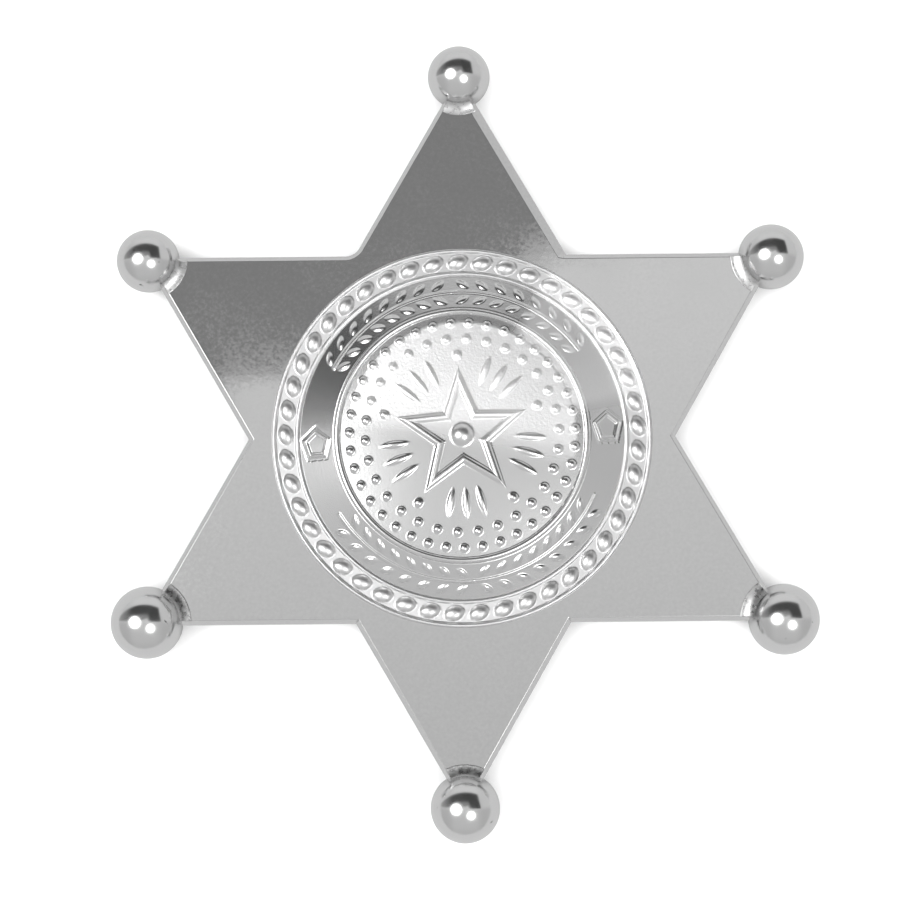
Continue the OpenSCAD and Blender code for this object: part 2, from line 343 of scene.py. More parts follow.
def star_section(sizes, thickness):
    """Edge of the plate as rows of (share of the bevel's width, inward distance, height).

    The height is measured down from the front. The face ends in a small arc, the bevel falls to a
    second small arc, and the side wall ends in the back's quarter circle.
    """
    slope = math.atan2(sizes.bevel_drop, sizes.bevel)
    r = sizes.crease
    lead = r * math.tan(slope / 2)
    turn_in = np.linspace(0, slope, 6)
    turn_out = np.linspace(slope, math.pi / 2, 8)
    low_lead = r * math.tan((math.pi / 2 - slope) / 2)
    quarter = arc(0, 90, 8)
    rows = [(1, lead + FLAT_START, 0)]
    rows += [(1, lead - r * math.sin(t), r * (math.cos(t) - 1)) for t in turn_in]
    low_middle = low_lead + sizes.bevel_drop
    rows += [(0, r * (1 - math.sin(t)), r * math.cos(t) - low_middle) for t in turn_out]
    wall_end = sizes.back_round - thickness
    rows += [(0, 0, (wall_end - low_middle) / 2), (0, 0, wall_end)]
    rows += [
        (0, sizes.back_round * (1 - math.cos(t)), wall_end - sizes.back_round * math.sin(t))
        for t in quarter[1:]
    ]
    rows.append((0, sizes.back_round + FLAT_START, -thickness))
    return np.array(rows)


def star_sheet(sizes):
    """The star plate: its outline, shrunk inward row by row along the section of its edge."""
    turn = np.arange(STAR_COLUMNS) * 2 * np.pi / STAR_COLUMNS
    side = PLATE_HIGH.y / 2
    thickness = PLATE_HIGH.z - PLATE_LOW.z
    soft = np.abs(turn - SOFT_NOTCH_ANGLE) < HALF_ARM
    notch = np.where(soft, sizes.soft_notch, sizes.notch)
    wide = np.clip(np.minimum(turn - WIDE_FROM, WIDE_TO - turn) / WIDE_FADE, 0, 1)
    bevel = sizes.bevel + (sizes.wide_bevel - sizes.bevel) * wide
    share, inward, drop = star_section(sizes, thickness).T[:, :, None]
    inset = share * bevel + inward
    reach = star_radius(turn[None], side - inset, notch + np.where(soft, inset, 0))
    height = np.broadcast_to(PLATE_HIGH.z + drop, reach.shape)
    face = np.linspace(MIDDLE_SHARE, 1, FACE_ROWS + 1)[:-1, None]
    back = np.linspace(1, MIDDLE_SHARE, BACK_ROWS + 1)[1:, None]
    reach = np.concatenate([face * reach[0], reach, back * reach[-1]])
    height = np.concatenate([
        np.full((FACE_ROWS, STAR_COLUMNS), PLATE_HIGH.z), height,
        np.full((BACK_ROWS, STAR_COLUMNS), PLATE_LOW.z),
    ])
    x, y = reach * np.cos(turn), reach * np.sin(turn)
    fade = np.clip((height - PLATE_LOW.z) / thickness, 0, 1)
    height = height - sizes.wave * fade * waves(x, y, sizes.wave_run)
    return skin("star_sheet", np.stack([x, y, height], -1))


def waves(x, y, run):
    """Slow hand-polishing waves from 0 to 1: the mean of three sines that cross at odd angles."""
    k = 2 * np.pi / run
    first = np.sin(k * (x + 0.4 * y) + 0.6)
    second = np.sin(k * 1.37 * (0.5 * x - y) + 2.1)
    third = np.sin(k * 0.71 * (y - 0.9 * x) + 4.0)
    return 0.5 + (first + second + third) / 6


# Ball tips

BALL_ROWS = 64
BALL_COLUMNS = 128
COLLAR_STEPS = 14
COLLAR_COLUMNS = 72
# A collar's arc goes on into the ball to this share of its angle at the rim. The hidden foot lies
# under the plate's face, and the hidden inner wall ends below the arc's end.
COLLAR_ARC = 1.3
FOOT_SUNK = 0.05 * MM
WALL_INWARD = 0.3 * MM
WALL_BELOW = 0.15 * MM
NARROWEST = -0.45


def ball_place(node, degrees):
    """Middle and radius of a packed ball, from the outer sides of its box, and its arm's way."""
    low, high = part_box(node)
    radius = (high.z - low.z) / 2
    way = Vector((math.cos(math.radians(degrees)), math.sin(math.radians(degrees)), 0))
    if abs(way.x) < 0.5:
        reach = (high.y if way.y > 0 else -low.y) - radius
    else:
        reach = ((high.x if way.x > 0 else -low.x) - radius) / abs(way.x)
    middle = way * reach
    middle.z = (high.z + low.z) / 2
    return middle, radius, way


def ball(node, degrees):
    """A ball with its poles on the line of the arm: (cos p, sin p cos q, sin p sin q) times r."""
    middle, radius, way = ball_place(node, degrees)
    p = np.linspace(0, np.pi, BALL_ROWS + 2)[1:-1, None]
    q = np.linspace(0, 2 * np.pi, BALL_COLUMNS, endpoint=False)[None]
    side = way.cross(Vector((0, 0, 1)))
    grid = np.cos(p)[..., None] * np.array(way) + np.zeros((1, BALL_COLUMNS, 1))
    grid = grid + (np.sin(p) * np.cos(q))[..., None] * np.array(side)
    grid = grid + (np.sin(p) * np.sin(q))[..., None] * np.array((0, 0, 1))
    return skin(node.replace("ball", "tip_ball"), np.array(middle) + radius * grid)


def collar(node, degrees, front, sizes):
    """The run-out of a ball onto its arm: a hollow section turned about the ball's upright axis.

    The section is an arc that leaves the plate level at the foot and meets the ball at the rim. Its
    radius is (w^2 + h^2) / 2h over a width w and a height h. At a radius r it turns as far as the
    arm is wide there: 30 degrees + asin(past / 2r), where past is how far the arm's flat reaches
    past the middle of the ball. The asin's share is kept above NARROWEST.
    """
    middle, radius, way = ball_place(node, degrees)
    half = (PLATE_HIGH.z - PLATE_LOW.z) / 2
    foot = radius + sizes.collar_width
    rim_z = half + sizes.collar_height
    width = foot - math.sqrt(radius**2 - rim_z**2)
    bow = (width**2 + sizes.collar_height**2) / (2 * sizes.collar_height)
    bend = np.linspace(COLLAR_ARC * math.asin(width / bow), 0, COLLAR_STEPS)
    r = foot - bow * np.sin(bend)
    z = half + bow * (1 - np.cos(bend))
    sunk = half - FOOT_SUNK
    inner = r[0] - WALL_INWARD
    r = np.concatenate([r, [foot, (foot + inner) / 2, inner, inner]])
    z = np.concatenate([z, [sunk, sunk, sunk, z[0] - WALL_BELOW]])
    past = PLATE_HIGH.y - math.hypot(middle.x, middle.y) - 2 * sizes.flat_edge
    widest = HALF_ARM + np.arcsin(np.clip(past / (2 * r), NARROWEST, 1))
    share = np.linspace(-1, 1, COLLAR_COLUMNS)[:, None]
    turn = math.radians(degrees) + np.pi + share * widest[None]
    side = 1 if front else -1
    grid = np.stack([
        middle.x + r * np.cos(turn),
        middle.y + r * np.sin(turn),
        np.broadcast_to(middle.z + side * z, turn.shape),
    ], -1)
    return skin(node.replace("ball", "tip_collar" if front else "back_collar"), grid)


# Seal

ROPE_COLUMNS = 1440
BAND_COLUMNS = 1200
FIELD_COLUMNS = 960
ROPE_ROWS = 50
BAND_ROWS = 72
# The field's rows lie closer together in the ring of its dotted circles
INNER_ROWS = 52
OUTER_ROWS = 46
# Half-round lines: the outer rim's arc in degrees with its steps, and the steps of the ring line
RIM_ARC = (-70, 80, 12)
RING_STEPS = 14
# Smallest ring of the field's top, and of its flat back, as shares
TOP_MIDDLE = 0.006
BACK_MIDDLE = 0.4
# Sprays of laurel: middle and spread to each side in degrees, and growth, 1 towards the middle
SPRAYS = ((91, 58, 1), (271, 62, -1))
# The first leaves stand this share of a pitch from the middle
FIRST_LEAF = 0.65
# Angle over which the ends of a stem sink into the band, in radians
STEM_END = 0.012
# Five-sided marks: height of the flat inside as a share of the relief, softness of its edge,
# width of the outline's foot as a share of the line, and how far past the outline the mark counts
MARK_FLAT = 0.4
MARK_EDGE = 0.12 * MM
MARK_FOOT = 1.15
MARK_PAST = 0.3 * MM
# How far the hidden walls between the seal's rings overlap
LAP = 0.02 * MM
# A fifth of a turn, for the five-sided marks and the small star
FIFTH = 2 * math.pi / 5


class SealForm:
    """Radii and heights of the seal, worked out from its sizes. Heights are above its back."""

    def __init__(self, sizes):
        self.sizes = sizes
        self.outer = SEAL_HIGH.x
        self.rim_r = self.outer - sizes.rim / 2
        self.rope_r = self.outer - sizes.rim - sizes.bed_width / 2
        self.inner_rim_r = self.outer - sizes.rim - sizes.bed_width - sizes.rim / 2
        self.band_out = self.inner_rim_r - sizes.rim / 2
        self.band_in = self.band_out - sizes.band
        self.band_mid = (self.band_out + self.band_in) / 2
        self.slope = math.atan2(sizes.band_rise, sizes.band)
        self.ring_r = self.band_in - sizes.ring / 2
        self.field_r = self.ring_r - sizes.ring / 2
        self.field_z = sizes.bed + sizes.band_rise
        self.sphere = (self.field_r**2 + sizes.crown**2) / (2 * sizes.crown)
        self.dot_r = self.field_r - sizes.dot_clear - sizes.dot / 2
        self.inner_dot_r = self.dot_r - sizes.dot - sizes.dot_gap

    def band_height(self, r):
        """Height of the sloping band: a straight line from the bed up to the field."""
        return self.sizes.bed + self.sizes.band_rise * (self.band_out - r) / self.sizes.band

    def field_height(self, r):
        """Height of the domed field: the cap of a sphere."""
        cap = np.sqrt(self.sphere**2 - np.minimum(r, self.field_r) ** 2)
        return self.field_z + self.sizes.crown - self.sphere + cap


def ridge(distance, width, top, foot):
    """Height of a half-round line: an ellipse over its width, and its foot's height beyond."""
    share = np.clip(1 - (distance / (width / 2)) ** 2, 0, 1)
    return foot + (top - foot) * np.sqrt(share)


def local(x, y, turn, r):
    """Outward and sideways distance from a place on the seal, given by its angle and radius."""
    outward = x * math.cos(turn) + y * math.sin(turn) - r
    sideways = y * math.cos(turn) - x * math.sin(turn)
    return outward, sideways


def oval(outward, sideways, turn, long, wide):
    """Height over the axis of a pointed oval, an arc turned about its chord.

    At u along the chord the half width is sqrt(A^2 - u^2) - A + W/2 with A = (L^2 + W^2) / 4W,
    and across it the section is a half circle.
    """
    along = sideways * math.cos(turn) - outward * math.sin(turn)
    across = outward * math.cos(turn) + sideways * math.sin(turn)
    bow = (long**2 + wide**2) / (4 * wide)
    half = np.sqrt(np.maximum(bow**2 - along**2, 0)) - bow + wide / 2
    half = np.maximum(half, 0)
    return np.sqrt(np.maximum(half**2 - across**2, 0))


def dome(x, y, turn, r, diameter, top):
    """Height of a ball's cap whose top has the given height, and far below where it ends."""
    outward, sideways = local(x, y, turn, r)
    radius = diameter / 2
    inside = radius**2 - outward**2 - sideways**2
    return np.where(inside > 0, top - radius + np.sqrt(np.maximum(inside, 0)), -1)


def polar_grid(r, columns, turn):
    """Angles, and the places x and y in the seal's own turn, of rings of radius r."""
    around = np.arange(columns) * 2 * np.pi / columns
    x = r[:, None] * np.cos(around - turn)
    y = r[:, None] * np.sin(around - turn)
    return around, x, y


def seal_grid(r, height, around):
    """Points of the seal on the plate: radius r [row], height [row, column]."""
    x = r[:, None] * np.cos(around)
    y = r[:, None] * np.sin(around)
    return np.stack([x, y, SEAL_LOW.z + height], -1)


def rope_ring(form):
    """The border: a wall, two rim lines, the bed between them and a rope of slanting beads.

    Its height is the greatest of the bed, the lines' half ellipses and the beads' pointed ovals.
    """
    s = form.sizes
    bulge = arc(*RIM_ARC)
    side_r = np.concatenate([
        [form.outer - s.wall_in] * 2, form.rim_r + s.rim / 2 * np.cos(bulge)
    ])
    side_z = np.concatenate([[0, s.bed / 3], s.bed + s.rim / 2 * np.sin(bulge)])
    top_r = np.linspace(side_r[-1], form.band_out, ROPE_ROWS)[1:]
    around, x, y = polar_grid(top_r, ROPE_COLUMNS, s.turn)
    r = top_r[:, None]
    height = ridge(r - form.rim_r, s.rim, s.bed + s.rim / 2, s.bed)
    inner = ridge(r - form.inner_rim_r, s.rim, s.bed + s.rim / 2, s.bed)
    height = np.maximum(height, inner) + np.zeros_like(x)
    for i in range(s.beads):
        place = local(x, y, i * 2 * math.pi / s.beads, form.rope_r)
        bead = oval(*place, s.bead_turn, s.bead_length, s.bead_width)
        bead = s.bed + s.wear * (bead - s.bead_sink)
        height = smooth_max(height, bead, s.blend)
    side = np.broadcast_to(side_z[:, None], (len(side_z), ROPE_COLUMNS))
    base = np.zeros((1, ROPE_COLUMNS))
    radii = np.concatenate([side_r, top_r, [form.band_out]])
    grid = seal_grid(radii, np.concatenate([side, height, base]), around)
    last = len(radii) - 2
    return skin("seal_rope", grid, closed_rows=True, creases=(0, last, last + 1))


def pentagon(outward, sideways, radius, point):
    """Signed distance outside a pentagon with a corner in the direction `point`."""
    turn = np.arctan2(sideways, outward) - point
    folded = (turn + FIFTH / 2) % FIFTH - FIFTH / 2
    away = np.hypot(outward, sideways)
    return away * np.cos(FIFTH / 2 - np.abs(folded)) - radius * math.cos(FIFTH / 2)


def band_ring(form):
    """The sloping band with its laurel sprays and five-sided marks, up to the inner ring line.

    Its height is a straight slope, and stems, leaves and marks are added as greater heights.
    """
    s = form.sizes
    slope_r = np.linspace(form.band_out, form.band_in, BAND_ROWS - RING_STEPS)
    line_r = form.ring_r + s.ring / 2 * np.cos(arc(0, 180, RING_STEPS + 1))[1:]
    top_r = np.concatenate([slope_r, line_r])
    around, x, y = polar_grid(top_r, BAND_COLUMNS, s.turn)
    r = top_r[:, None]
    height = form.band_height(np.maximum(r, form.band_in)) + np.zeros_like(x)
    for middle, spread, growth in SPRAYS:
        for side in (-1, 1):
            half = math.radians(spread)
            height = spray(form, height, x, y, math.radians(middle), half, side, growth)
    for way in (0, math.pi):
        height = five_sided_mark(form, height, x, y, way)
    ring = ridge(r - form.ring_r, s.ring, form.field_z + s.ring / 2, form.field_z)
    on_ring = r < form.band_in + 1e-9
    height = np.where(on_ring, np.maximum(ring, form.field_z), height)
    radii = np.concatenate([[form.band_out + LAP] * 2, top_r, [form.field_r]])
    wall = np.zeros((1, BAND_COLUMNS))
    grid = seal_grid(radii, np.concatenate([wall, wall + s.bed - LAP, height, wall]), around)
    last = len(radii) - 2
    return skin("seal_band", grid, closed_rows=True, creases=(0, 1, 2, last, last + 1))


def five_sided_mark(form, height, x, y, way):
    """Raises a mark: a low flat inside a pentagon, and a half-round line along its outline."""
    s = form.sizes
    outward, sideways = local(x, y, way, form.band_mid)
    outward = outward / math.cos(form.slope)
    outside = pentagon(outward, sideways, s.mark / 2, math.pi / 2 - way)
    ground = form.band_height(np.hypot(x, y))
    flat = ground + s.relief * MARK_FLAT * np.clip(0.5 - outside / MARK_EDGE, 0, 1)
    line = ridge(outside + s.mark_line / 2, s.mark_line * MARK_FOOT, s.relief, 0) + ground
    return np.where(outside < MARK_PAST, smooth_max(flat, line, s.blend / 2), height)


def spray(form, height, x, y, middle, spread, side, growth):
    """Raises one side of a laurel spray: a stem and pairs of leaves that lean along it."""
    s = form.sizes
    turn = np.arctan2(y, x)
    off = (turn - middle + math.pi) % (2 * math.pi) - math.pi
    on_stem = np.clip(np.minimum(off * side, spread - off * side) / STEM_END + 1, 0, 1)
    r = np.hypot(x, y)
    ground = form.band_height(r)
    stem_top = ridge(r - form.band_mid, s.stem, s.wear * s.stem / 2, -s.leaf_sink)
    stem_top = ground - s.leaf_sink + (s.leaf_sink + stem_top) * on_stem
    height = smooth_max(height, stem_top, s.blend)
    pairs = int(spread / s.leaf_pitch)
    for i in range(pairs):
        for edge in (-1, 1):
            place = middle + side * (i + FIRST_LEAF) * s.leaf_pitch
            outward, sideways = local(x, y, place, form.band_mid + edge * s.leaf_off)
            outward = outward / math.cos(form.slope)
            lean = edge * side * growth * s.leaf_turn
            leaf = oval(outward, sideways, lean, s.leaf_length, s.leaf_width)
            height = smooth_max(height, ground + s.wear * (leaf - s.leaf_sink), s.blend)
    return height


def star_outside(x, y, reach, waist):
    """Signed distance outside a five-pointed star with a point on +Y.

    The plane is folded to the wedge between a point and the waist beside it, where the outline is
    one straight edge.
    """
    folded = (np.arctan2(y, x) - math.pi / 2 + FIFTH / 2) % FIFTH - FIFTH / 2
    away = np.hypot(x, y)
    u, v = away * np.cos(folded), away * np.abs(np.sin(folded))
    end = (reach * waist * math.cos(FIFTH / 2), reach * waist * math.sin(FIFTH / 2))
    run = math.hypot(end[0] - reach, end[1])
    normal = (end[1] / run, (reach - end[0]) / run)
    return (u - reach) * normal[0] + v * normal[1]


def dotted_circle(form, height, x, y, radius, count):
    """Raises a circle of dots, each the cap of a ball."""
    s = form.sizes
    ground = form.field_height(radius)
    for i in range(count):
        dot = dome(x, y, i * 2 * math.pi / count, radius, s.dot, ground + s.wear * s.relief)
        height = smooth_max(height, dot, s.blend)
    return height


def field_disc(form):
    """The domed field with two dotted circles, the small star, a dot off each point and rays.

    Its height is a sphere's cap, and star, boss, dots and rays are added as greater heights.
    """
    s = form.sizes
    inner_r = form.inner_dot_r - s.dot
    top_r = np.concatenate([
        inner_r * np.linspace(TOP_MIDDLE, 1, INNER_ROWS),
        np.linspace(inner_r, form.field_r, OUTER_ROWS + 1)[1:],
    ])
    around, x, y = polar_grid(top_r, FIELD_COLUMNS, s.turn)
    r = np.hypot(x, y)
    ground = form.field_height(r)
    height = ground
    outside = star_outside(x, y, s.star_reach, s.star_waist)
    outline = ridge(outside + s.star_line / 2, s.star_line, s.relief, -s.leaf_sink)
    height = smooth_max(height, ground + s.wear * outline, s.blend)
    boss_top = form.field_height(0) + s.boss_height
    height = smooth_max(height, dome(x, y, 0, 0, s.boss, boss_top), s.blend)
    height = dotted_circle(form, height, x, y, form.dot_r, s.dots)
    height = dotted_circle(form, height, x, y, form.inner_dot_r, s.inner_dots)
    end_r = s.star_reach + s.dot
    end_top = form.field_height(end_r) + s.wear * s.relief
    for i in range(5):
        way = math.pi / 2 + i * FIFTH
        height = smooth_max(height, dome(x, y, way, end_r, s.dot, end_top), s.blend)
        for fan in (-1, 0, 1):
            place = local(x, y, way + FIFTH / 2 + fan * s.ray_turn, s.star_reach)
            ray = oval(*place, math.pi / 2, s.ray_length, s.leaf_width)
            height = smooth_max(height, ground + s.wear * (ray - s.leaf_sink), s.blend)
    radii = np.concatenate([top_r, [form.field_r, BACK_MIDDLE * form.field_r]])
    wall = np.zeros((2, FIELD_COLUMNS))
    grid = seal_grid(radii, np.concatenate([height, wall]), around)
    last = len(top_r) - 1
    return skin("seal_field", grid, creases=(last, last + 1))


# Materials


def add(tree, kind, inputs=(), **settings):
    """Adds a shader node, sets its properties, and sets or links its inputs.

    `inputs` is a sequence of values for the first sockets, or a dictionary by name or number. A
    node, or one of its output sockets, is linked. `stops` are the (place, value) of a ramp. A map
    range takes its value, the two ends it comes from and the two that it goes to.
    """
    node = tree.nodes.new("ShaderNode" + kind)
    stops = settings.pop("stops", None)
    for key, value in settings.items():
        setattr(node, key, value)
    if stops:
        ramp = node.color_ramp.elements
        while len(ramp) < len(stops):
            ramp.new(1)
        for element, (place, value) in zip(ramp, stops):
            element.position = place
            element.color = (value, value, value, 1)
    pairs = inputs.items() if isinstance(inputs, dict) else enumerate(inputs)
    for key, value in pairs:
        if isinstance(value, bpy.types.Node):
            value = value.outputs[0]
        if isinstance(value, bpy.types.NodeSocket):
            tree.links.new(value, node.inputs[key])
        elif value is not None:
            node.inputs[key].default_value = value
    return node


def new_material(name):
    """An empty node material and its tree."""
    material = bpy.data.materials.new(name)
    material.use_nodes = True
    material.node_tree.nodes.clear()
    return material, material.node_tree


def metal(tree, tone, rough, bump):
    """Ends a material as a metal with the given tone, roughness and relief."""
    shader = add(tree, "BsdfPrincipled", {
        "Base Color": tone, "Metallic": 1.0, "Roughness": rough, "Normal": bump,
    })
    add(tree, "OutputMaterial", [shader])


def rgba(value):
    """A colour with full alpha."""
    return (*value, 1)


def per(millimetres):
    """Scale of a texture whose features are the given number of millimetres apart."""
    return 1 / (millimetres * MM)


def polished_nickel(finishes):
    """Bright nickel plate on polished zinc: a cold grey mirror, a little hazy and uneven.

    Buffing leaves a faint orange peel about 0.7 mm across, and handling leaves hazy patches of
    specks 0.3 mm across, so reflections have ragged edges and the dark ones look speckled.
    """
    material, tree = new_material("polished_nickel_on_zinc")
    place = add(tree, "TexCoord").outputs["Object"]
    haze = add(tree, "TexNoise", {"Vector": place, "Scale": per(6), "Detail": 4})
    grain = add(tree, "TexNoise", {"Vector": place, "Scale": per(0.3), "Detail": 4})
    peel = add(tree, "TexNoise", {"Vector": place, "Scale": per(0.7), "Detail": 3})
    speckle = add(tree, "Math", [haze, grain], operation="MULTIPLY")
    rough = add(tree, "MapRange", [speckle, 0.15, 0.38, 0.02, 0.1])
    tone = add(tree, "Mix", {"Factor": grain, 6: rgba(finishes.worn_nickel),
                             7: rgba(finishes.nickel)}, data_type="RGBA")
    bump = add(tree, "Bump", {"Height": peel, "Strength": 0.12, "Distance": 0.01 * MM})
    metal(tree, tone.outputs[2], rough, bump)
    return material


# The seal's finish changes at these distances from the origin, which is on the floor under its
# middle, and is frosted in a wedge round one direction that fades between two angles from it.
# The frosted parts are rougher and are also painted a lighter tone, a painted highlight of the
# lamps' glare.
FIELD_END = (12.6 * MM, 12.3 * MM)
WEDGE_WAY = math.radians(37)
WEDGE_END = (math.radians(29), math.radians(20))
ROPE_START = (15.9 * MM, 16.2 * MM)


def struck_nickel(finishes):
    """Nickel plate over struck relief: bright low down, frosted by the die higher up.

    The die's grain, about 0.25 mm, shows on the upper part of the field and on the band and rope
    at the upper right, where it catches the lamps as a white glare, and there the tone is painted
    lighter as a painted highlight. The rope is duller than the rest from handling.
    """
    material, tree = new_material("struck_nickel_on_zinc")
    place = add(tree, "TexCoord").outputs["Object"]
    axes = add(tree, "SeparateXYZ", [place])
    right = add(tree, "Math", [axes.outputs["X"], 0.2], operation="MULTIPLY")
    across = add(tree, "Math", [axes.outputs["Y"], 0.98, right], operation="MULTIPLY_ADD")
    radius = add(tree, "VectorMath", [place], operation="LENGTH").outputs["Value"]
    upper = add(tree, "MapRange", [across, -2 * MM, 3 * MM], interpolation_type="SMOOTHSTEP")
    inner = add(tree, "MapRange", [radius, *FIELD_END])
    field = add(tree, "Math", [upper, inner], operation="MULTIPLY")
    turn = add(tree, "Math", [axes.outputs["Y"], axes.outputs["X"]], operation="ARCTAN2")
    off = add(tree, "Math", [turn, WEDGE_WAY], operation="SUBTRACT")
    off = add(tree, "Math", [off], operation="ABSOLUTE")
    wedge = add(tree, "MapRange", [off, *WEDGE_END], interpolation_type="SMOOTHSTEP")
    outer = add(tree, "Math", [1.0, inner], operation="SUBTRACT")
    side = add(tree, "Math", [wedge, outer], operation="MULTIPLY")
    frost_and_glare = add(tree, "Math", [field, side], operation="MAXIMUM")
    grain = add(tree, "TexNoise", {"Vector": place, "Scale": per(0.25), "Detail": 2})
    on_rope = add(tree, "MapRange", [radius, *ROPE_START])
    smooth = add(tree, "MapRange", [on_rope, 0, 1, 0.21, 0.38])
    rough = add(tree, "Mix", {"Factor": frost_and_glare, 2: smooth, 3: 0.46})
    depth = add(tree, "Math", [frost_and_glare, 0.15], operation="MAXIMUM")
    depth = add(tree, "Math", [depth, grain], operation="MULTIPLY")
    bump = add(tree, "Bump", {"Height": depth, "Strength": 1.0, "Distance": 0.025 * MM})
    # Painted highlight: where frosted, the tone is lighter to stand in for the lamps' glare
    tone = add(tree, "Mix", {"Factor": frost_and_glare, 6: rgba(finishes.nickel),
                             7: rgba(finishes.frosted_nickel_painted_glare)}, data_type="RGBA")
    metal(tree, tone.outputs[2], rough, bump)
    return material


def cast_nickel(finishes):
    """Nickel over the cast skin of a collar: dull, with lumps about 0.4 mm across.

    The polishing wheel doesn't reach into the corner beside the ball, so the collar scatters the
    light of the lamps and stays pale where a mirror would show the dark side of the studio.
    """
    material, tree = new_material("cast_nickel_collars")
    place = add(tree, "TexCoord").outputs["Object"]
    lumps = add(tree, "TexNoise", {"Vector": place, "Scale": per(0.4), "Detail": 2})
    rough = add(tree, "MapRange", [lumps, 0.35, 0.65, 0.22, 0.4])
    bump = add(tree, "Bump", {"Height": lumps, "Strength": 0.5, "Distance": 0.03 * MM})
    metal(tree, rgba(finishes.cast_nickel), rough, bump)
    return material


def ball_nickel(finishes):
    """Nickel plate on the turned balls: a mirror softer than the plate's, with a few specks."""
    material, tree = new_material("polished_nickel_balls")
    place = add(tree, "TexCoord").outputs["Object"]
    speck = add(tree, "TexNoise", {"Vector": place, "Scale": per(1.1), "Detail": 3})
    spots = add(tree, "MapRange", [speck, 0.72, 0.76])
    tone = add(tree, "Mix", {"Factor": spots, 6: rgba(finishes.nickel),
                             7: rgba(finishes.stain)}, data_type="RGBA")
    rough = add(tree, "MapRange", [speck, 0.3, 0.7, 0.13, 0.2])
    peel = add(tree, "TexNoise", {"Vector": place, "Scale": per(0.6), "Detail": 2})
    bump = add(tree, "Bump", {"Height": peel, "Strength": 0.15, "Distance": 0.01 * MM})
    metal(tree, tone.outputs[2], rough, bump)
    return material


def satin_nickel(finishes):
    """Nickel on rolled strip and drawn wire: a dull mirror with fine drawing lines along X."""
    material, tree = new_material("satin_nickel_wire")
    place = add(tree, "TexCoord").outputs["Object"]
    drawn = add(tree, "Mapping", {"Vector": place, "Scale": (0.04, 1, 1)})
    lines = add(tree, "TexNoise", {"Vector": drawn, "Scale": per(0.12), "Detail": 3})
    rough = add(tree, "MapRange", [lines, 0.3, 0.7, 0.2, 0.34])
    bump = add(tree, "Bump", {"Height": lines, "Strength": 0.4, "Distance": 0.01 * MM})
    metal(tree, rgba(finishes.pin_nickel), rough, bump)
    return material


# Stage

CAMERA_TARGET = Vector((-1.149, -1.141, 3.397)) * MM
CAMERA_LEAN_RIGHT = math.radians(0.08)
SENSOR_MM = 36
NEAREST_SEEN = 0.01
FLOOR_HALF = 3.0
CARD_HALF = 0.6
CARD_LIFT = 0.02 * MM
KEY_HEIGHT = 0.7
KEY_SIZE = 0.9
# Directions in the studio are laid out flat as degrees from straight up: x to the right of the
# badge's face, y towards its top. Two round lamps, each with its place and radius:
LAMPS = ((-31, 1, 14), (19, -19, 9))
LAMP_EDGE = 9
# Tones in linear light: the studio where the camera sees it, and its darkest place
SEEN_WALLS = 0.95
DARKEST = 0.07
# The dark side of the studio is a disc cut off below and at its right end
DARK_MIDDLE = (0, -60)
DARK_RADIUS = 119


def flat_square(name, height, half):
    """A level square that faces straight up, put in the scene."""
    points = [(x * half, y * half, height) for x, y in ((-1, -1), (1, -1), (1, 1), (-1, 1))]
    mesh = bpy.data.meshes.new(name)
    mesh.from_pydata(points, [], [(0, 1, 2, 3)])
    piece = put_in_scene(name, mesh)
    return piece


def matt_paper(name, shade):
    """Uncoated paper: wholly matt, of one even tone."""
    material, tree = new_material(name)
    add(tree, "OutputMaterial", [add(tree, "BsdfDiffuse", {"Color": rgba(shade)})])
    return material


def only_mirrored(piece):
    """Lets a piece show only in reflections."""
    piece.visible_camera = False
    piece.visible_diffuse = False
    piece.visible_shadow = False
    piece.visible_transmission = False


def flat_direction(tree):
    """The direction of a ray laid out flat: degrees from straight up to the right and the top.

    Gives x, y and the two as one vector.
    """
    way = add(tree, "TexCoord").outputs["Generated"]
    axes = add(tree, "SeparateXYZ", [way])
    flat = add(tree, "VectorMath", [way, (1, 1, 0)], operation="MULTIPLY")
    across = add(tree, "VectorMath", [flat], operation="LENGTH").outputs["Value"]
    across = add(tree, "Math", [across, 1e-4], operation="MAXIMUM")
    rise = add(tree, "Math", [axes.outputs["Z"]], operation="ARCCOSINE")
    rise = add(tree, "Math", [rise], operation="DEGREES")
    stretch = add(tree, "Math", [rise, across], operation="DIVIDE")
    x = add(tree, "Math", [axes.outputs["X"], stretch], operation="MULTIPLY")
    y = add(tree, "Math", [axes.outputs["Y"], stretch], operation="MULTIPLY")
    return x, y, add(tree, "CombineXYZ", [x, y, 0.0])


def lower_edge(tree, x):
    """Where the dark side ends below: max(3, min(max(0.5 x + 9.5, step), 26.3 - 1.6 x)).

    The step is 7.4, and falls to 6.5 to the left of x = -6.8.
    """
    edge = add(tree, "Math", [x, 0.5, 9.5], operation="MULTIPLY_ADD")
    step = add(tree, "MapRange", [x, -6.6, -7.0, 7.4, 6.5])
    edge = add(tree, "Math", [edge, step], operation="MAXIMUM")
    fall = add(tree, "Math", [x, -1.6, 26.3], operation="MULTIPLY_ADD")
    edge = add(tree, "Math", [edge, fall], operation="MINIMUM")
    return add(tree, "Math", [edge, 3.0], operation="MAXIMUM")


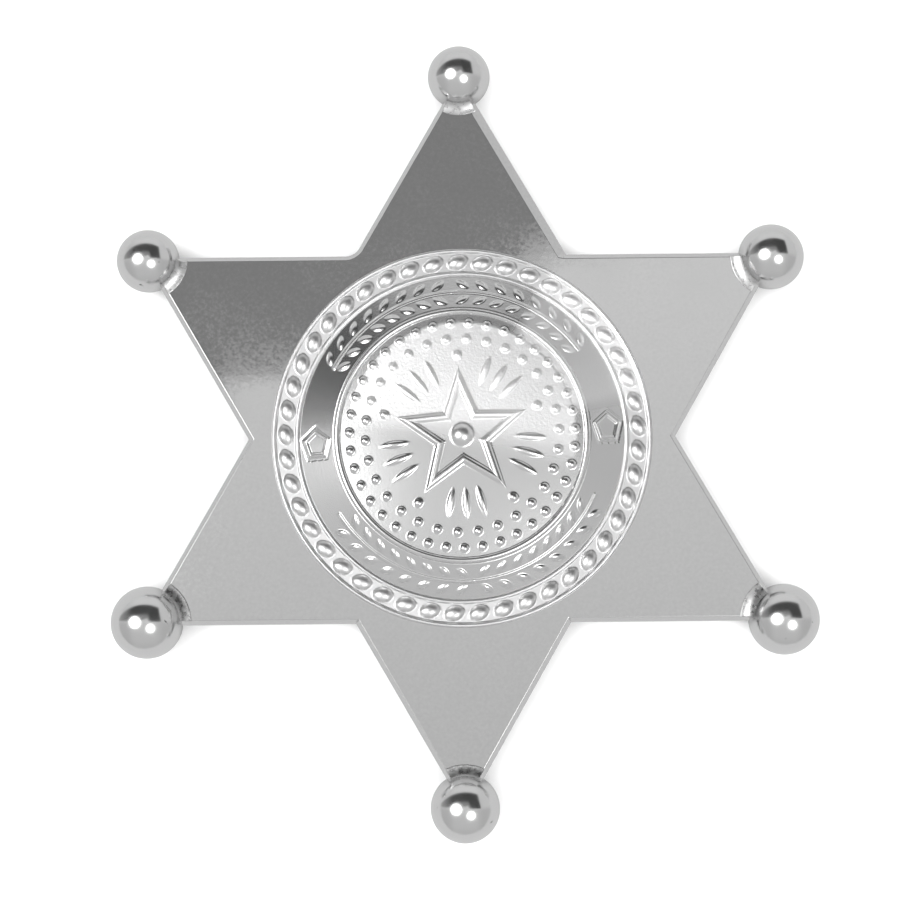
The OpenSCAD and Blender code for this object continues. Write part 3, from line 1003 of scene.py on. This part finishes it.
def dark_side(tree, x, y, spot):
    """The dark side of the studio: its mask and its tone.

    Above it ends at the disc's edge and to the right at x = 54 - 0.2 y. It is a mid grey,
    lighter to the left, with a darker arch 33 degrees wide along the disc's edge that fades to the
    left, and a darker block at the right where x + y / 2 is over about 23.
    """
    beyond = add(tree, "Math", [y, lower_edge(tree, x)], operation="SUBTRACT")
    above = add(tree, "MapRange", [beyond, -0.2, 0.2], interpolation_type="SMOOTHSTEP")
    away = add(tree, "VectorMath", [spot, (*DARK_MIDDLE, 0)], operation="DISTANCE")
    depth = add(tree, "Math", [float(DARK_RADIUS), away.outputs["Value"]], operation="SUBTRACT")
    below = add(tree, "MapRange", [depth, -3, 3], interpolation_type="SMOOTHSTEP")
    limit = add(tree, "Math", [y, -0.2, 54.0], operation="MULTIPLY_ADD")
    left_of = add(tree, "Math", [limit, x], operation="SUBTRACT")
    ended = add(tree, "MapRange", [left_of, -3, 3], interpolation_type="SMOOTHSTEP")
    mask = add(tree, "Math", [above, below], operation="MULTIPLY")
    mask = add(tree, "Math", [mask, ended], operation="MULTIPLY")
    ground = add(tree, "MapRange", [x, -12, -50, 0.285, 0.42])
    arch = add(tree, "MapRange", [depth, 40, 26], interpolation_type="SMOOTHSTEP")
    fade = add(tree, "MapRange", [x, -90, -45])
    arch = add(tree, "Math", [arch, fade], operation="MULTIPLY")
    along = add(tree, "Math", [y, 0.5, x], operation="MULTIPLY_ADD")
    block = add(tree, "MapRange", [along, 18.5, 27], interpolation_type="SMOOTHSTEP")
    shade = add(tree, "Math", [arch, block], operation="MAXIMUM")
    return mask, add(tree, "Mix", {"Factor": shade, 2: ground, 3: DARKEST})


def surroundings(scene, values):
    """The studio as the metal mirrors it: pale walls, its dark side overhead and two lamps."""
    world = bpy.data.worlds.new("studio")
    scene.world = world
    world.use_nodes = True
    tree = world.node_tree
    tree.nodes.clear()
    x, y, spot = flat_direction(tree)
    height = add(tree, "MapRange", [y, -120, 120])
    light = add(tree, "ValToRGB", [height], stops=(
        (0.0, 0.5), (0.25, 0.63), (0.48, 0.65), (0.54, 0.82), (0.75, 0.8), (1.0, 0.72)
    ))
    sideways = add(tree, "Math", [x], operation="ABSOLUTE")
    wing = add(tree, "MapRange", [sideways, 35, 60, 1.0, 0.86])
    light = add(tree, "Math", [light, wing], operation="MULTIPLY")
    mask, dark = dark_side(tree, x, y, spot)
    tone = add(tree, "Mix", {"Factor": mask, 2: light, 3: dark})
    for lamp_x, lamp_y, radius in LAMPS:
        away = add(tree, "VectorMath", [spot, (lamp_x, lamp_y, 0)], operation="DISTANCE")
        glow = add(tree, "MapRange", [
            away.outputs["Value"], radius + LAMP_EDGE, radius - LAMP_EDGE, 0, values.lamp_strength
        ], interpolation_type="SMOOTHSTEP")
        tone = add(tree, "Math", [tone, glow], operation="ADD")
    seen = add(tree, "LightPath").outputs["Is Camera Ray"]
    tone = add(tree, "Mix", {"Factor": seen, 2: tone, 3: SEEN_WALLS})
    add(tree, "OutputWorld", [add(tree, "Background", {"Color": tone})])


def place_camera(scene, values):
    """A camera over the badge, leaning towards the bottom point and rolled a little."""
    lean = Vector((
        math.sin(CAMERA_LEAN_RIGHT),
        -math.sin(values.camera_tilt),
        math.cos(values.camera_tilt),
    )).normalized()
    right = Vector((0, 1, 0)).cross(lean).normalized()
    up = lean.cross(right)
    c, s = math.cos(values.camera_roll), math.sin(values.camera_roll)
    right, up = c * right + s * up, c * up - s * right
    data = bpy.data.cameras.new("camera")
    data.lens = values.lens
    data.sensor_width = SENSOR_MM
    data.clip_start = NEAREST_SEEN
    camera = put_in_scene("camera", data)
    turn = Matrix((right, up, lean)).transposed().to_4x4()
    camera.matrix_world = Matrix.Translation(CAMERA_TARGET + lean * values.camera_distance) @ turn
    scene.camera = camera


# Operators


class BADGE_OT_star(bpy.types.Operator):
    """Makes the star plate"""

    bl_idname = "badge.star"
    bl_label = "Star plate"

    def execute(self, context):
        piece = star_sheet(context.scene.badge_plate)
        dress(piece, polished_nickel(context.scene.badge_finishes), "plate", "star_plate")
        return {"FINISHED"}


class BADGE_OT_balls(bpy.types.Operator):
    """Makes the six ball tips with their collars"""

    bl_idname = "badge.balls"
    bl_label = "Ball tips"

    def execute(self, context):
        polished = ball_nickel(context.scene.badge_finishes)
        cast = cast_nickel(context.scene.badge_finishes)
        for node, degrees in BALLS:
            dress(ball(node, degrees), polished, "ball", node)
            for front in (True, False):
                piece = collar(node, degrees, front, context.scene.badge_balls)
                dress(piece, cast, "ball", node)
        return {"FINISHED"}


class BADGE_OT_seal(bpy.types.Operator):
    """Makes the round seal in three rings"""

    bl_idname = "badge.seal"
    bl_label = "Seal"

    def execute(self, context):
        form = SealForm(context.scene.badge_seal)
        material = struck_nickel(context.scene.badge_finishes)
        for piece in (rope_ring(form), band_ring(form), field_disc(form)):
            dress(piece, material, "seal", "seal")
        return {"FINISHED"}


class BADGE_OT_pin(bpy.types.Operator):
    """Finishes the pin on the back"""

    bl_idname = "badge.pin"
    bl_label = "Pin"

    def execute(self, context):
        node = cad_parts["pin_clasp"]
        node.data.materials.clear()
        node.data.materials.append(satin_nickel(context.scene.badge_finishes))
        return {"FINISHED"}


class BADGE_OT_stage(bpy.types.Operator):
    """Makes the floor, the lights and the camera"""

    bl_idname = "badge.stage"
    bl_label = "Stage"

    def execute(self, context):
        scene = context.scene
        values = scene.badge_stage
        scene.view_settings.view_transform = "Standard"
        surroundings(scene, values)
        floor = flat_square("floor", 0, FLOOR_HALF)
        floor.data.materials.append(matt_paper("white_paper", values.floor))
        floor.visible_glossy = False
        # The card is painted shade: a darker copy of the white paper, seen only in reflections
        card = flat_square("mirrored_floor", CARD_LIFT, CARD_HALF)
        card.data.materials.append(matt_paper("painted_shade_paper", values.mirrored_floor))
        only_mirrored(card)
        data = bpy.data.lights.new("key_light", "AREA")
        data.size = KEY_SIZE
        data.energy = values.key_power
        key = put_in_scene("key_light", data)
        key.location = (0, 0, KEY_HEIGHT)
        key.visible_glossy = False
        place_camera(scene, values)
        return {"FINISHED"}


class BADGE_PT_panel(bpy.types.Panel):
    """Lists the badge's pieces in the sidebar"""

    bl_idname = "BADGE_PT_panel"
    bl_label = "Sheriff star badge"
    bl_space_type = "VIEW_3D"
    bl_region_type = "UI"
    bl_category = "Badge"

    def draw(self, context):
        for operator in OPERATORS:
            self.layout.operator(operator.bl_idname)


GROUPS = {
    "badge_plate": PlateSizes,
    "badge_balls": BallSizes,
    "badge_seal": SealSizes,
    "badge_finishes": Finishes,
    "badge_stage": StageValues,
}
OPERATORS = (BADGE_OT_star, BADGE_OT_balls, BADGE_OT_seal, BADGE_OT_pin, BADGE_OT_stage)
CLASSES = (*GROUPS.values(), *OPERATORS, BADGE_PT_panel)


def register():
    """Adds the classes and the settings of each group."""
    for cls in CLASSES:
        bpy.utils.register_class(cls)
    for name, group in GROUPS.items():
        setattr(bpy.types.Scene, name, PointerProperty(type=group))


def unregister():
    """Takes the settings and the classes away again."""
    for name in GROUPS:
        delattr(bpy.types.Scene, name)
    for cls in reversed(CLASSES):
        bpy.utils.unregister_class(cls)


def main():
    """Makes the whole badge on its stage."""
    register()
    bpy.ops.badge.star()
    bpy.ops.badge.balls()
    bpy.ops.badge.seal()
    bpy.ops.badge.pin()
    bpy.ops.badge.stage()


if __name__ == "__main__":
    main()
